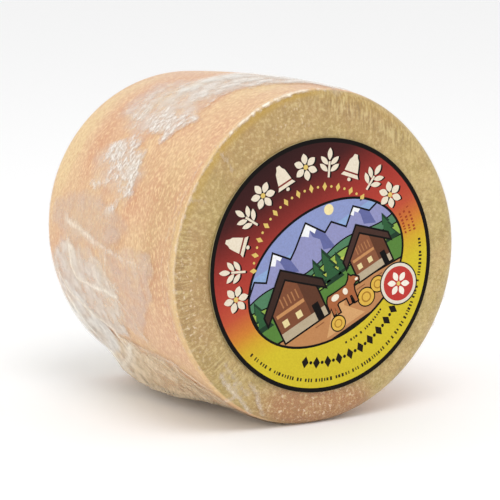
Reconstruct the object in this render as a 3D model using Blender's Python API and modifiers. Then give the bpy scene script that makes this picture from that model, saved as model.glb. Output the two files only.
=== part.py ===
"""A whole wheel of hard cheese in clear shrink film, with a round label on one end.

It lies on its side. Its axis runs along Y, the labelled end looks toward -Y, and the
floor is z = 0. All sizes are in metres.
"""
import math

import bpy
import numpy as np

OBJECT_NAME = "cheese_wheel"

# Wheel: the end that carries the label is the front
WHEEL_LENGTH = 0.0951
FRONT_RADIUS = 0.0520
BELLY_RADIUS = 0.05245
BACK_RADIUS = 0.05155
BELLY_PLACE = 0.4
REST_DEPTH = 0.0008

# Rounding of the two rims: the front one is sharp at the left and blunt at the right
FRONT_ROUND = 0.0039
FRONT_ROUND_RIGHT = 0.0020
FRONT_ROUND_TOP = -0.0014
BACK_ROUND = 0.0078

# How far each end is out of round, as waves of 1, 2, 3 and 4 to a turn (cosine, sine)
FRONT_WAVES = ((-0.0002, -0.0008), (-0.0007, 0.0001), (0.0003, -0.0004), (0.0002, 0.0001))
BACK_WAVES = ((0.0002, 0.0), (-0.0004, -0.0008), (-0.0001, 0.0002), (0.0, 0.0))

# Loose film: a pouch low on the left side, given by its ridge from front to back
POUCH_RIDGE_PLACES = (0.012, 0.028, 0.041, 0.054, 0.064, 0.073, 0.087)
POUCH_RIDGE_LIFTS = (0.0, 0.0018, 0.0043, 0.0052, 0.0050, 0.0040, 0.0)
POUCH_RIDGE_TURNS = (-118.0, -119.5, -121.0, -122.0, -123.0, -125.0, -125.0)

# Folds of the film: turn and place of both ends, and height
FOLD_HALF_WIDTH = 0.0036
FOLDS = (
    (-156.0, 0.083, -129.0, 0.070, 0.0009),
    (-167.0, 0.084, -149.0, 0.055, 0.0008),
    (172.0, 0.074, -179.0, 0.014, 0.0006),
    (-178.0, 0.071, -164.0, 0.040, 0.0006),
    (-143.0, 0.043, -136.0, 0.007, 0.0006),
)

# Mesh of the wheel
TURN_STEPS = 112
SIDE_STEPS = 26
ROUND_STEPS = 5
END_RINGS = (0.0, 0.018, 0.034)

# Label
LABEL_RADIUS = 0.0396
LABEL_THICKNESS = 0.0003
LABEL_RIGHT = 0.00024
LABEL_DOWN = 0.0026
LABEL_STEPS = 96
TOUCH_GAP = 0.0003

FILM_OVER_RIND = (0.72, 0.51, 0.31, 1.0)
LABEL_RED = (0.42, 0.06, 0.04, 1.0)


def clear_scene():
    for thing in list(bpy.data.objects):
        bpy.data.objects.remove(thing, do_unlink=True)


def make_collection(name):
    collection = bpy.data.collections.new(name)
    bpy.context.scene.collection.children.link(collection)
    return collection


def plain_material(name, colour, roughness):
    material = bpy.data.materials.new(name)
    material.use_nodes = True
    shader = material.node_tree.nodes["Principled BSDF"]
    shader.inputs["Base Color"].default_value = colour
    shader.inputs["Roughness"].default_value = roughness
    shader.inputs["Metallic"].default_value = 0.0
    return material


def out_of_round(waves, turn):
    """Radius of an end over its mean radius, at each turn."""
    total = np.zeros_like(turn)
    for count, (cosine, sine) in enumerate(waves, start=1):
        total += cosine * np.cos(count * turn) + sine * np.sin(count * turn)
    return 1.0 + total / FRONT_RADIUS


def front_round(turn):
    return FRONT_ROUND + FRONT_ROUND_RIGHT * np.cos(turn) + FRONT_ROUND_TOP * np.sin(turn)


def side_share(place, turn):
    """0 where the front rounding ends and 1 where the back rounding starts."""
    start = front_round(turn)
    return np.clip((place - start) / (WHEEL_LENGTH - BACK_ROUND - start), 0.0, 1.0)


def side_radius(share, turn):
    """A curve through the front, belly and back radii, out of round as both ends are."""
    front = FRONT_RADIUS * (share - BELLY_PLACE) * (share - 1.0) / BELLY_PLACE
    belly = BELLY_RADIUS * share * (1.0 - share) / (BELLY_PLACE * (1.0 - BELLY_PLACE))
    back = BACK_RADIUS * share * (share - BELLY_PLACE) / (1.0 - BELLY_PLACE)
    waves = out_of_round(FRONT_WAVES, turn) * (1.0 - share) + out_of_round(BACK_WAVES, turn) * share
    return (front + belly + back) * waves


def shaped(place, radius, turn):
    """Move points of the turned blank to the uneven wheel: new places and radii."""
    blank_edge = FRONT_RADIUS - FRONT_ROUND
    edge = front_round(turn)
    front_waves = out_of_round(FRONT_WAVES, turn)
    back_waves = out_of_round(BACK_WAVES, turn)

    share = (place - FRONT_ROUND) / (WHEEL_LENGTH - BACK_ROUND - FRONT_ROUND)
    side_place = edge + share * (WHEEL_LENGTH - BACK_ROUND - edge)
    new_place = np.where(share < 0.0, place * edge / FRONT_ROUND, side_place)
    new_place = np.where(share > 1.0, place, new_place)
    new_radius = side_radius(np.clip(share, 0.0, 1.0), turn)

    rounding = edge + (radius - blank_edge) * edge / FRONT_ROUND
    front_rim = (FRONT_RADIUS - 2.0 * edge + rounding) * front_waves
    front_end = radius * (FRONT_RADIUS - edge) / blank_edge * front_waves
    new_radius = np.where(share < 0.0, np.where(radius > blank_edge, front_rim, front_end), new_radius)

    blank_back_edge = FRONT_RADIUS - BACK_ROUND
    back_rim = (radius - FRONT_RADIUS + BACK_RADIUS) * back_waves
    back_end = radius * (BACK_RADIUS - BACK_ROUND) / blank_back_edge * back_waves
    new_radius = np.where(share > 1.0, np.where(radius > blank_back_edge, back_rim, back_end), new_radius)
    return new_place, new_radius


def pouch_radius(radius, place, turn):
    """Film drawn straight from the pouch's ridge to where it touches the wheel."""
    lift = np.interp(place, POUCH_RIDGE_PLACES, POUCH_RIDGE_LIFTS)
    ridge = np.radians(np.interp(place, POUCH_RIDGE_PLACES, POUCH_RIDGE_TURNS))
    reach = np.arccos(radius / (radius + lift))
    away = np.abs((turn - ridge + math.pi) % (2.0 * math.pi) - math.pi)
    return radius / np.cos(np.maximum(reach - away, 0.0))


def fold_height(place, turn):
    """Height of the film's folds above its surface, each a straight ridge."""
    height = np.zeros_like(place)
    for first_turn, first_place, last_turn, last_place, top in FOLDS:
        start = math.radians(first_turn)
        along_turn = math.radians((last_turn - first_turn + 180.0) % 360.0 - 180.0) * FRONT_RADIUS
        along_place = last_place - first_place
        across = ((turn - start + math.pi) % (2.0 * math.pi) - math.pi) * FRONT_RADIUS
        down = place - first_place
        length = math.hypot(along_turn, along_place)
        share = np.clip((across * along_turn + down * along_place) / length**2, 0.0, 1.0)
        gap = np.hypot(across - share * along_turn, down - share * along_place)
        slope = np.clip(1.0 - gap / FOLD_HALF_WIDTH, 0.0, 1.0)
        height = np.maximum(height, top * slope * np.sin(math.pi * np.clip(share, 0.05, 0.95)))
    return height


def axis_height(place):
    """Height of the wheel's axis that puts the side's lowest line just under the floor."""
    down = np.full_like(place, -0.5 * math.pi)
    return side_radius(side_share(place, down), down) - REST_DEPTH


def blank_profile():
    """Half outline of the turned blank, from the middle of the front to that of the back."""
    points = [(radius, 0.0) for radius in END_RINGS]
    for step in range(ROUND_STEPS + 1):
        angle = 0.5 * math.pi * step / ROUND_STEPS
        edge = FRONT_RADIUS - FRONT_ROUND
        points.append((edge + FRONT_ROUND * math.sin(angle), FRONT_ROUND * (1.0 - math.cos(angle))))
    side = WHEEL_LENGTH - BACK_ROUND - FRONT_ROUND
    for step in range(1, SIDE_STEPS):
        points.append((FRONT_RADIUS, FRONT_ROUND + side * step / SIDE_STEPS))
    for step in range(ROUND_STEPS + 1):
        angle = 0.5 * math.pi * step / ROUND_STEPS
        edge = FRONT_RADIUS - BACK_ROUND
        start = WHEEL_LENGTH - BACK_ROUND
        points.append((edge + BACK_ROUND * math.cos(angle), start + BACK_ROUND * math.sin(angle)))
    points += [(radius, WHEEL_LENGTH) for radius in reversed(END_RINGS)]
    return points


def turned_mesh(name):
    """Turn the profile about Z with its front end at the top, then lay it along Y."""
    profile = bpy.data.meshes.new(name + "_profile")
    points = [(radius, 0.0, -place) for radius, place in blank_profile()]
    edges = [(number, number + 1) for number in range(len(points) - 1)]
    profile.from_pydata(points, edges, [])
    turned = bpy.data.objects.new(name + "_profile", profile)
    bpy.context.scene.collection.objects.link(turned)
    screw = turned.modifiers.new("Turn", "SCREW")
    screw.steps = TURN_STEPS
    screw.render_steps = TURN_STEPS
    screw.use_merge_vertices = True
    screw.merge_threshold = 0.00001
    depsgraph = bpy.context.evaluated_depsgraph_get()
    mesh = bpy.data.meshes.new_from_object(turned.evaluated_get(depsgraph))
    bpy.data.objects.remove(turned, do_unlink=True)
    bpy.data.meshes.remove(profile)
    mesh.name = name
    return mesh


def make_wheel(collection):
    """The wheel with its film drawn tight, one closed solid."""
    mesh = turned_mesh("wrapped_wheel")
    spots = np.array([vertex.co for vertex in mesh.vertices])
    turn = np.arctan2(spots[:, 1], spots[:, 0])
    place, radius = shaped(-spots[:, 2], np.hypot(spots[:, 0], spots[:, 1]), turn)
    side = (place > FRONT_ROUND) & (place < WHEEL_LENGTH - BACK_ROUND)
    radius[side] = pouch_radius(radius[side], place[side], turn[side])
    radius[side] += fold_height(place[side], turn[side])
    height = np.maximum(radius * np.sin(turn) + axis_height(place), 0.0)
    laid = np.column_stack((radius * np.cos(turn), place - 0.5 * WHEEL_LENGTH, height))
    mesh.vertices.foreach_set("co", laid.astype(np.float32).ravel())
    mesh.update()
    mesh.shade_smooth()
    mesh.set_sharp_from_angle(angle=math.radians(40.0))
    wheel = bpy.data.objects.new("wrapped_wheel", mesh)
    collection.objects.link(wheel)
    mesh.materials.append(plain_material("Rind under clear film", FILM_OVER_RIND, 0.35))
    return wheel


def make_label(collection):
    """A thin round label on the front end, a little below its middle."""
    front = -0.5 * WHEEL_LENGTH - TOUCH_GAP - 0.5 * LABEL_THICKNESS
    middle = float(axis_height(np.zeros(1))[0])
    bpy.ops.mesh.primitive_cylinder_add(
        vertices=LABEL_STEPS,
        radius=LABEL_RADIUS,
        depth=LABEL_THICKNESS,
        location=(LABEL_RIGHT, front, middle - LABEL_DOWN),
        rotation=(0.5 * math.pi, 0.0, 0.0),
    )
    label = bpy.context.active_object
    label.name = "label"
    label.data.name = "label"
    for owner in list(label.users_collection):
        owner.objects.unlink(label)
    collection.objects.link(label)
    label.data.materials.append(plain_material("Printed label", LABEL_RED, 0.45))
    return label


def centre_over_origin(parts):
    """Shift all parts so that the middle of their common box is over the origin."""
    bpy.context.view_layer.update()
    spots = np.array([part.matrix_world @ vertex.co for part in parts for vertex in part.data.vertices])
    middle = 0.5 * (spots.min(axis=0) + spots.max(axis=0))
    for part in parts:
        part.location.x -= middle[0]
        part.location.y -= middle[1]


def main():
    clear_scene()
    collection = make_collection(OBJECT_NAME)
    wheel = make_wheel(collection)
    label = make_label(collection)
    centre_over_origin((wheel, label))


main()
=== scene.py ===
import math
import bpy
import numpy as np
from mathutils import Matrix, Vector, noise


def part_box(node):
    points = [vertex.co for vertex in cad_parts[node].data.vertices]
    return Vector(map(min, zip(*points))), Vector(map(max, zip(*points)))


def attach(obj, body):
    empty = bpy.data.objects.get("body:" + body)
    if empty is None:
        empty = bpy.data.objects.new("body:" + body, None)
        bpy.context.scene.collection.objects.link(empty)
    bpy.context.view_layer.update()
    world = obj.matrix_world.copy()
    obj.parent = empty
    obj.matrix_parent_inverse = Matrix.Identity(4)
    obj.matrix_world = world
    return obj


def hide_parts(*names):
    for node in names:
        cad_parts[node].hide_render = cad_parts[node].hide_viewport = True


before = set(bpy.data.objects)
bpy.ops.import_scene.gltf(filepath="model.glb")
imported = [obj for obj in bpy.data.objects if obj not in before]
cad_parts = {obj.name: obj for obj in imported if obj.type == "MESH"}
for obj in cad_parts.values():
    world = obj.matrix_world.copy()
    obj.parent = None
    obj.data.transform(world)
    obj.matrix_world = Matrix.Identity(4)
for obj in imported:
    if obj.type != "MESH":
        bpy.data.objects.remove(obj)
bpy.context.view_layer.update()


# Wheel of cheese
# A short drum of washed-rind cheese on its side. Its ends are flat, its rims rounded,
# and its side is a little barrelled and sags to a narrow flat where it lies. The rind
# took the weave of its cloth in the press, and months of brine turned it peach and tan.
# Its length, its radius at the front, at the belly and at the back, and where the belly lies,
# as a share of the side's length. Sizes are in metres.
LENGTH = 0.0951
FRONT_RADIUS = 0.0520
BELLY_RADIUS = 0.05245
BACK_RADIUS = 0.05155
BELLY_PLACE = 0.4
SAG = 0.0008
# The rims' rounding, and what the front one has more on the right and less at the top
FRONT_ROUND = 0.0039
FRONT_ROUND_RIGHT = 0.0020
FRONT_ROUND_TOP = -0.0014
BACK_ROUND = 0.0078
# How far out of round the ends are, as the cosine and sine of their first waves round the wheel
FRONT_WAVES = ((-0.0002, -0.0008), (-0.0007, 0.0001), (0.0003, -0.0004), (0.0002, 0.0001))
BACK_WAVES = ((0.0002, 0.0), (-0.0004, -0.0008), (-0.0001, 0.0002), (0.0, 0.0))
LABEL_RIGHT_OF_AXIS = 0.00024
FILM_GAP = 0.0004
# The film's pouch, by its ridge: places along the wheel, how far it stands off and its turn in
# degrees. The cheese under it slumps into a share of it.
SLUMP = 0.8
POUCH_RIDGE_PLACES = (0.012, 0.028, 0.041, 0.054, 0.064, 0.073, 0.087)
POUCH_RIDGE_LIFTS = (0.0, 0.0018, 0.0043, 0.0052, 0.0050, 0.0040, 0.0)
POUCH_RIDGE_TURNS = (-118, -119.5, -121, -122, -123, -125, -125)
# A point this near an end lies on it. An arc is one degree round the wheel, in mm.
ON_END = 1e-6
ARC = math.radians(1.0) * FRONT_RADIUS * 1000.0

label_low, label_high = (np.array(corner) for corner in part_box("label"))
axis_x = 0.5 * (label_low[0] + label_high[0]) - LABEL_RIGHT_OF_AXIS
front_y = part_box("wrapped_wheel")[0][1]


def out_of_round(waves, turn):
    total = np.zeros_like(turn)
    for count, (cosine, sine) in enumerate(waves, start=1):
        total += cosine * np.cos(count * turn) + sine * np.sin(count * turn)
    return 1.0 + total / FRONT_RADIUS


def front_round(turn):
    return FRONT_ROUND + FRONT_ROUND_RIGHT * np.cos(turn) + FRONT_ROUND_TOP * np.sin(turn)


def side_radius(share, turn):
    front = FRONT_RADIUS * (share - BELLY_PLACE) * (share - 1.0) / BELLY_PLACE
    belly = BELLY_RADIUS * share * (1.0 - share) / (BELLY_PLACE * (1.0 - BELLY_PLACE))
    back = BACK_RADIUS * share * (share - BELLY_PLACE) / (1.0 - BELLY_PLACE)
    waves = out_of_round(FRONT_WAVES, turn) * (1.0 - share) + out_of_round(BACK_WAVES, turn) * share
    return (front + belly + back) * waves


def axis_height(place):
    down = np.full_like(place, -0.5 * math.pi)
    start = front_round(down)
    share = np.clip((place - start) / (LENGTH - BACK_ROUND - start), 0.0, 1.0)
    return side_radius(share, down) - SAG


axis_z = float(axis_height(np.zeros(1))[0])


def wheel_shape(place, radius, turn):
    """Round the rims of a straight drum and make it as uneven as the wheel."""
    edge = front_round(turn)
    front_waves = out_of_round(FRONT_WAVES, turn)
    back_waves = out_of_round(BACK_WAVES, turn)
    share = (place - edge) / (LENGTH - BACK_ROUND - edge)
    new_place = place.copy()
    new_radius = side_radius(np.clip(share, 0.0, 1.0), turn)

    inside = FRONT_RADIUS - radius
    at_front = place < ON_END
    at_back = place > LENGTH - ON_END
    lean = np.where(at_front, 1.0 - inside / edge, 1.0 + place / edge) * 0.25 * math.pi
    front_rim = (at_front & (inside < edge)) | (~at_front & (place < edge))
    new_place = np.where(front_rim, edge * (1.0 - np.cos(lean)), new_place)
    new_radius = np.where(front_rim, front_waves * (FRONT_RADIUS - edge + edge * np.sin(lean)), new_radius)
    new_radius = np.where(at_front & ~front_rim, front_waves * radius, new_radius)

    beyond = place - (LENGTH - BACK_ROUND)
    lean = np.where(at_back, 1.0 - inside / BACK_ROUND, 2.0 - beyond / BACK_ROUND) * 0.25 * math.pi
    back_rim = (at_back & (inside < BACK_ROUND)) | (~at_back & (beyond > 0.0))
    round_place = LENGTH - BACK_ROUND + BACK_ROUND * np.cos(lean)
    round_radius = back_waves * (BACK_RADIUS - BACK_ROUND + BACK_ROUND * np.sin(lean))
    new_place = np.where(back_rim, round_place, new_place)
    new_radius = np.where(back_rim, round_radius, new_radius)
    flat_back = (BACK_RADIUS - BACK_ROUND) / (FRONT_RADIUS - BACK_ROUND)
    new_radius = np.where(at_back & ~back_rim, back_waves * radius * flat_back, new_radius)
    return new_place, new_radius


def pouch_radius(radius, place, turn):
    """The side with the bag's pouch on it, drawn straight from its ridge to where it leaves the wheel."""
    lift = np.interp(place, POUCH_RIDGE_PLACES, POUCH_RIDGE_LIFTS)
    ridge = np.radians(np.interp(place, POUCH_RIDGE_PLACES, POUCH_RIDGE_TURNS))
    reach = np.arccos(radius / (radius + lift))
    away = np.abs((turn - ridge + math.pi) % (2.0 * math.pi) - math.pi)
    return radius / np.cos(np.maximum(reach - away, 0.0))


def drum(name, around, along, rings):
    """A cylinder with rows along its side and rings on its ends, drawn along Y."""
    bpy.ops.object.select_all(action="DESELECT")
    bpy.ops.mesh.primitive_cylinder_add(
        vertices=around, radius=FRONT_RADIUS, depth=LENGTH, rotation=(0.5 * math.pi, 0.0, 0.0)
    )
    piece = bpy.context.active_object
    piece.name = name
    piece.data.name = name
    bpy.ops.object.transform_apply(location=True, rotation=True, scale=True)
    mesh = piece.data
    bpy.ops.object.mode_set(mode="EDIT")
    bpy.ops.mesh.select_mode(type="EDGE")
    bpy.ops.mesh.select_all(action="DESELECT")
    bpy.ops.object.mode_set(mode="OBJECT")
    for edge in mesh.edges:
        first, last = (mesh.vertices[number].co for number in edge.vertices)
        edge.select = abs(first.y - last.y) > 0.5 * LENGTH
    bpy.ops.object.mode_set(mode="EDIT")
    bpy.ops.mesh.subdivide_edgering(number_cuts=along - 1, interpolation="LINEAR")
    bpy.ops.mesh.select_mode(type="FACE")
    bpy.ops.mesh.select_all(action="DESELECT")
    bpy.ops.object.mode_set(mode="OBJECT")
    for face in mesh.polygons:
        face.select = len(face.vertices) > 4
    bpy.ops.object.mode_set(mode="EDIT")
    for step in rings:
        bpy.ops.mesh.inset(thickness=step, use_even_offset=False)
    bpy.ops.mesh.poke()
    bpy.ops.object.mode_set(mode="OBJECT")
    bpy.ops.object.shade_smooth()
    return piece


def spots_of(piece):
    spots = np.empty(len(piece.data.vertices) * 3, dtype=np.float32)
    piece.data.vertices.foreach_get("co", spots)
    spots = spots.reshape(-1, 3).astype(float)
    turn = np.arctan2(spots[:, 2], spots[:, 0])
    return np.clip(spots[:, 1] + 0.5 * LENGTH, 0.0, LENGTH), np.hypot(spots[:, 0], spots[:, 2]), turn


def unrolled(place, radius, turn):
    """The skin laid flat in mm: round the wheel, and back of the front rim, with the front end below 0."""
    inside = (FRONT_RADIUS - radius) * 1000.0
    back = place * 1000.0
    back = np.where(place < ON_END, -inside, back)
    back = np.where(place > LENGTH - ON_END, LENGTH * 1000.0 + inside, back)
    return (np.degrees(turn) % 360.0) * ARC, back


def off_line(around, back, points):
    """Distance in mm from a line through (turn in degrees, mm back) points on the unrolled skin."""
    nearest = np.full_like(around, 1000.0)
    for (turn_0, back_0), (turn_1, back_1) in zip(points, points[1:]):
        x, y = turn_0 * ARC, back_0
        run, rise = (turn_1 - turn_0) * ARC, back_1 - back_0
        share = np.clip(((around - x) * run + (back - y) * rise) / (run * run + rise * rise), 0.0, 1.0)
        nearest = np.minimum(nearest, np.hypot(around - x - share * run, back - y - share * rise))
    return nearest


def inside_of(around, back, points):
    """Distance in mm inside a closed outline on the unrolled skin, and below 0 outside it."""
    closed = list(points) + [points[0]]
    within = np.zeros(around.shape, dtype=bool)
    for (turn_0, back_0), (turn_1, back_1) in zip(closed, closed[1:]):
        if back_0 == back_1:
            continue
        crosses = (back_0 > back) != (back_1 > back)
        at = (turn_0 + (back - back_0) * (turn_1 - turn_0) / (back_1 - back_0)) * ARC
        within ^= crosses & (around < at)
    far = off_line(around, back, closed)
    return np.where(within, far, -far)


def fade(distance, reach):
    """From 1 at no distance down to 0 at the reach."""
    return np.clip(1.0 - distance / reach, 0.0, 1.0)


def eased(amount):
    amount = np.clip(amount, 0.0, 1.0)
    return amount * amount * (3.0 - 2.0 * amount)


def lay_down(piece, place, radius, turn):
    """Put the wheel's points in the world, its lowest ones on the floor."""
    height = np.maximum(radius * np.sin(turn) + axis_height(place), 0.0)
    spots = np.column_stack((axis_x + radius * np.cos(turn), front_y + place, height))
    piece.data.vertices.foreach_set("co", spots.astype(np.float32).ravel())
    piece.data.update()


def store(piece, looks):
    """Keep each point's values by name, for the piece's material."""
    for name, values in looks.items():
        layer = piece.data.attributes.new(name, "FLOAT", "POINT")
        layer.data.foreach_set("value", np.asarray(values, dtype=np.float32))


def linear(code):
    """A colour's sRGB hex code as linear values."""
    parts = [int(code[start:start + 2], 16) / 255.0 for start in (0, 2, 4)]
    parts = [part / 12.92 if part <= 0.04045 else ((part + 0.055) / 1.055) ** 2.4 for part in parts]
    return (*parts, 1.0)


def new_material(name):
    material = bpy.data.materials.new(name)
    material.use_nodes = True
    return material, material.node_tree.nodes["Principled BSDF"]


def plug(material, node, inputs):
    """Link a node's inputs to other nodes, or set them."""
    for key, value in inputs.items():
        if isinstance(value, bpy.types.NodeSocket):
            material.node_tree.links.new(value, node.inputs[key])
        else:
            node.inputs[key].default_value = linear(value) if isinstance(value, str) else value


def add_node(material, kind, inputs, out=0, stops=(), **settings):
    """Add a shader node with its settings, inputs and ramp stops, and give one of its outputs."""
    node = material.node_tree.nodes.new("ShaderNode" + kind)
    for setting, value in settings.items():
        setattr(node, setting, value)
    plug(material, node, inputs)
    for number, (position, colour) in enumerate(stops):
        if number >= len(node.color_ramp.elements):
            node.color_ramp.elements.new(1.0)
        node.color_ramp.elements[number].position = position
        node.color_ramp.elements[number].color = linear(colour)
    return node.outputs[out]


# How much closer the side's grain lies round the wheel, and where an oval has faded out
DRAWN_OUT = (0.6, 1.0, 0.6)
OVAL_REACH = 1.35


def wheel_vectors(material):
    """Places from the front end's middle, and the same drawn out round the wheel."""
    where = add_node(material, "TexCoord", {}, out="Object")
    centred = add_node(material, "Mapping", {"Vector": where, "Location": (-axis_x, -front_y, -axis_z)})
    drawn = add_node(material, "VectorMath", {0: centred, 1: DRAWN_OUT}, operation="MULTIPLY")
    return centred, drawn


def ovals(turn, back, spots):
    """The sum of soft ovals on the unrolled skin: turn, mm back, half sizes in mm and how much."""
    total = np.zeros_like(back)
    for middle_turn, middle_back, half_around, half_back, amount in spots:
        sideways = ((np.degrees(turn) - middle_turn + 180.0) % 360.0 - 180.0) * ARC
        far = np.hypot(sideways / half_around, (back - middle_back) / half_back)
        total += amount * eased(OVAL_REACH - far)
    return total


# What changes over the rind, as soft ovals: turn, mm back, half sizes in mm and how much
OVALS = {
    # where the side is paler and yellower (above 0) or more orange; the darker ovals just back of the left
    # rim are painted shade, and the two wide ones on the front end are painted shade on its left and painted
    # light on its right
    "tint_and_painted_light": (
        (140, 86, 26, 7, 0.30), (127, 70, 22, 7, -0.16), (147, 66, 12, 7, -0.16),
        (100, 66, 20, 18, -0.10), (128, 31, 9, 4, -0.16), (158, 33, 10, 4, -0.14),
        (150, 18, 22, 9, 0.06), (180, 8, 11, 7, -0.14), (200, 9, 12, 6, -0.12),
        (106, 17, 16, 7, 0.10), (238, 5, 7, 5, -0.12), (215, 25, 12, 10, 0.05),
        (30, 40, 25, 22, 0.14), (330, 55, 18, 26, -0.14), (195, -7, 44, 12, -0.10),
        (350, -7, 44, 12, 0.10),
    ),
    # where it is a darker tan
    "tan": (
        (172, 9, 24, 15, 0.38), (158, 14, 13, 8, 0.20), (176, 17, 9, 6, 0.22),
        (150, 12, 12, 7, 0.12), (176, 41, 8, 9, 0.24), (150, 28, 12, 14, 0.20),
        (178, 2, 30, 3, 0.25), (20, 4, 30, 8, 0.3), (300, 8, 26, 10, 0.3), (60, 80, 24, 14, 0.25),
    ),
    # the pale yellow band that runs along the rim, on the left, a painted highlight on the rim's crest
    "crest": (
        (190, 1, 34, 2.6, 1), (232, 2, 8, 3, 0.7), (140, 0.6, 14, 1.6, 0.6), (114, 0, 26, 1.6, 1),
    ),
    # the blush low on the front end
    "blush": (
        (266, -5, 22, 10, 1.2), (286, -1, 7, 8, 0.5), (190, -6, 26, 12, 0.42),
        (116, -6, 34, 12, 0.32), (68, -6, 20, 12, 0.24),
    ),
    # the gold in the front end's rim
    "gold_rim": (
        (120, -1, 22, 2.2, 0.9), (150, -1.5, 14, 1.8, 0.5), (98, -0.8, 8, 1.6, 0.5),
        (70, -1.5, 24, 3, 0.3),
    ),
    # where pale specks show on it
    "speckled": (
        (190, -3.5, 24, 5, 1), (103, -8, 10, 6, 0.7), (266, -5, 24, 8, 1), (330, -4, 26, 6, 0.35),
    ),
    # where fine pleats show on it
    "pleated": (
        (100, -2, 10, 4, 0.6), (186, -2.5, 26, 4.5, 0.8), (225, -5, 12, 6, 0.8),
        (20, -2, 14, 4, 0.4),
    ),
    # where they stand upright
    "ribbed": (
        (64, -4, 24, 6, 1.1), (84, -2.5, 12, 5, 0.8),
    ),
}
# How far back of the front rim the end's khaki reaches, by turn, and where the back end's starts
KHAKI_TURNS = (0, 60, 85, 215, 245, 275, 360)
KHAKI_REACHES = (3.4, 2.6, 0.3, 0.0, 1.5, 3.4, 3.4)
KHAKI_BACK = 93.0
KHAKI_BACK_FADE = 0.2
# On the back end the specks and pleats come in from a place, over a few mm and up to a share
BACK_SPECKLED = (88.0, 8.0, 0.5)
BACK_PLEATED = (94.0, 4.0, 0.3)
# The mesh: points round the wheel, rows along its side, and widths of the rings on its ends
CHEESE_AROUND = 360
CHEESE_ALONG = 110
CHEESE_RINGS = [0.0008] * 16 + [0.0035] * 8


def comes_in(back, start, over, most):
    return most * eased((back - start) / over)


cheese = drum("cheese", CHEESE_AROUND, CHEESE_ALONG, CHEESE_RINGS)
place, radius, turn = spots_of(cheese)
around, back = unrolled(place, radius, turn)
place, radius = wheel_shape(place, radius, turn)
khaki_reach = np.interp(np.degrees(turn) % 360.0, KHAKI_TURNS, KHAKI_REACHES)
looks = {name: ovals(turn, back, spots) for name, spots in OVALS.items()}
looks["side"] = np.minimum(back - khaki_reach, KHAKI_BACK_FADE * (KHAKI_BACK - back))
looks["blush"] = np.minimum(looks["blush"], 1.0)
looks["speckled"] += comes_in(back, *BACK_SPECKLED)
looks["pleated"] += comes_in(back, *BACK_PLEATED)
store(cheese, looks)
on_side = (place > FRONT_ROUND) & (place < LENGTH - BACK_ROUND)
pouch = pouch_radius(radius[on_side], place[on_side], turn[on_side])
radius[on_side] += SLUMP * (pouch - radius[on_side])
place = FILM_GAP + place * (LENGTH - 2.0 * FILM_GAP) / LENGTH
radius = radius * (1.0 - FILM_GAP / FRONT_RADIUS)
lay_down(cheese, place, radius, turn)

# Washed rind pressed in cloth: peach and cream mottle a millimetre across, drawn out round
# the side, khaki and closer on the ends. The tight film gives it a soft, broken gloss.
# The ends' ribs and pleats are long ones, so their noise is squeezed along them.
RIB_STRETCH = (1.0, 1.0, 0.18)
SPOKE_STRETCH = 0.12
rind, shader = new_material("Washed rind, pressed in cloth")
centred, drawn = wheel_vectors(rind)
# The ribs run upright, and the pleats as spokes from the middle
upright = add_node(rind, "VectorMath", {0: centred, 1: RIB_STRETCH}, operation="MULTIPLY")
flat = add_node(rind, "VectorMath", {0: centred, 1: (1.0, 0.0, 1.0)}, operation="MULTIPLY")
out = add_node(rind, "VectorMath", {0: flat}, out="Value", operation="LENGTH")
ring = add_node(rind, "VectorMath", {0: flat}, operation="NORMALIZE")
ring = add_node(rind, "VectorMath", {0: ring, "Scale": FRONT_RADIUS}, operation="SCALE")
depth = add_node(rind, "Math", {0: out, 1: SPOKE_STRETCH}, operation="MULTIPLY")
depth = add_node(rind, "CombineXYZ", {"Y": depth})
spokes = add_node(rind, "VectorMath", {0: ring, 1: depth}, operation="ADD")
# The grains of the rind: what each follows, its size in metres, its detail and its roughness
grain = {}
for name, where, size, detail, rough in (
    ("broad", drawn, 0.015, 3.0, 0.5),
    ("mottle", drawn, 0.0008, 2.0, 0.6),
    ("fleck", centred, 0.0009, 2.0, 0.65),
    ("pressed", centred, 0.006, 3.0, 0.5),
    ("hue", centred, 0.008, 2.0, 0.5),
    ("pleats", spokes, 0.00065, 1.0, 0.5),
    ("ribs", upright, 0.00065, 1.0, 0.5),
    ("specks", centred, 0.0010, 1.0, 0.5),
):
    inputs = {"Vector": where, "Scale": 1.0 / size, "Detail": detail, "Roughness": rough}
    grain[name] = add_node(rind, "TexNoise", inputs)
stored = {}
for name in looks:
    stored[name] = add_node(rind, "Attribute", {}, out="Fac", attribute_name=name)

# The tint ovals hold painted shade by the left rim, and painted light and shade across the front end
tone = add_node(rind, "Math", {0: grain["broad"], 1: stored["tint_and_painted_light"]}, operation="ADD")
side_stops = ((0.2, "c98f64"), (0.4, "d0a077"), (0.55, "d3ab7e"), (0.8, "dabc87"))
side = add_node(rind, "ValToRGB", {"Fac": tone}, stops=side_stops)
end_stops = ((0.3, "a58c4e"), (0.5, "b19858"), (0.7, "bea668"))
tone = add_node(rind, "Math", {0: grain["pressed"], 1: stored["tint_and_painted_light"]}, operation="ADD")
end = add_node(rind, "ValToRGB", {"Fac": tone}, stops=end_stops)

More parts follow.
